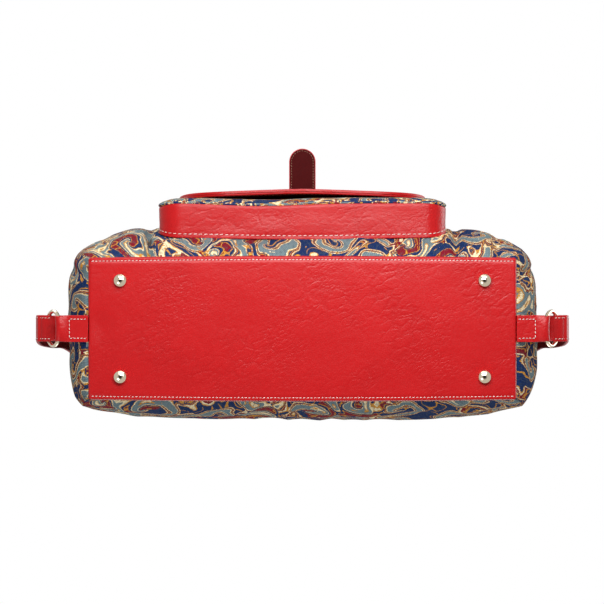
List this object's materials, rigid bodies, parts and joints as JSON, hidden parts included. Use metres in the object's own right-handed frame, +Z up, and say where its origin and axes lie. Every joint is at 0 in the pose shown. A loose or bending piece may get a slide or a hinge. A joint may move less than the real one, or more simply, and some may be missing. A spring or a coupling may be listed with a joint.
{
  "type": "tapestry backpack",
  "caption": "Woven tapestry backpack on a footed leather base, with a flapped front pocket, zipped top, rolled handle and shoulder straps on side rings.",
  "frame": {"origin": "middle of the base panel's underside; the feet reach below it", "axes": "+Z up to the handle, -Y to the front with the pocket, X across the width"},
  "size_m": [0.51, 0.2679, 0.4011],
  "materials": {
    "red_leather": "pebbled, soft sheen",
    "dark_leather": "matt back side",
    "tapestry": "jacquard weave of marbled swirls",
    "lining": "plain twill",
    "pale_gold_metal": "polished, pale gold",
    "magnet_steel": "plated",
    "board": "plain sheet",
    "zip_tape": "woven tape"
  },
  "bodies": {
    "bag": {"base_panel": "red_leather", "base_board": "board", "feet": "pale_gold_metal", "foot_washers": "pale_gold_metal", "front_panel": "tapestry", "back_panel": "tapestry", "side_gusset_left": "tapestry", "side_gusset_right": "tapestry", "lining": "lining", "pocket_gusset": "red_leather", "pocket_front": "tapestry", "pocket_magnet": "magnet_steel", "zip_tape_front": "zip_tape", "zip_tape_back": "zip_tape", "zip_coil": "pale_gold_metal", "strap_yoke": "red_leather", "top_handle": "red_leather", "strap_left": "red_leather", "strap_right": "red_leather", "ring_tab_left": "red_leather", "ring_tab_right": "red_leather"},
    "flap": {"flap_face": "red_leather", "flap_lining": "dark_leather"},
    "closure_tab": {"tab_face": "red_leather", "tab_lining": "dark_leather", "tab_magnet": "magnet_steel"},
    "zip_slider": {"zip_slider": "pale_gold_metal"},
    "zip_pull": {"zip_pull": "pale_gold_metal"},
    "ring_left": {"ring_left": "pale_gold_metal"},
    "ring_right": {"ring_right": "pale_gold_metal"}
  },
  "joints": [
    {"name": "flap_hinge", "type": "hinge", "parent": "bag", "child": "flap", "pos_m": [0, -0.07489, 0.23], "axis": [-1, 0, 0], "range_deg": [0, 110]},
    {"name": "tab_hinge", "type": "hinge", "parent": "flap", "child": "closure_tab", "pos_m": [0, -0.13718, 0.09], "axis": [1, 0, 0], "range_deg": [0, 75]},
    {"name": "zip_slide", "type": "slide", "parent": "bag", "child": "zip_slider", "axis": [-1, 0, 0], "range_m": [0, 0.35]},
    {"name": "pull_hinge", "type": "hinge", "parent": "zip_slider", "child": "zip_pull", "pos_m": [0.177, 0, 0.3417], "axis": [0, 1, 0], "range_deg": [0, 170]},
    {"name": "ring_left_spin", "type": "hinge", "parent": "bag", "child": "ring_left", "pos_m": [-0.2346, 0, 0.01623], "axis": [0.866, 0, 0.5], "continuous": true},
    {"name": "ring_right_spin", "type": "hinge", "parent": "bag", "child": "ring_right", "pos_m": [0.2346, 0, 0.01623], "axis": [-0.866, 0, 0.5], "continuous": true}
  ]
}
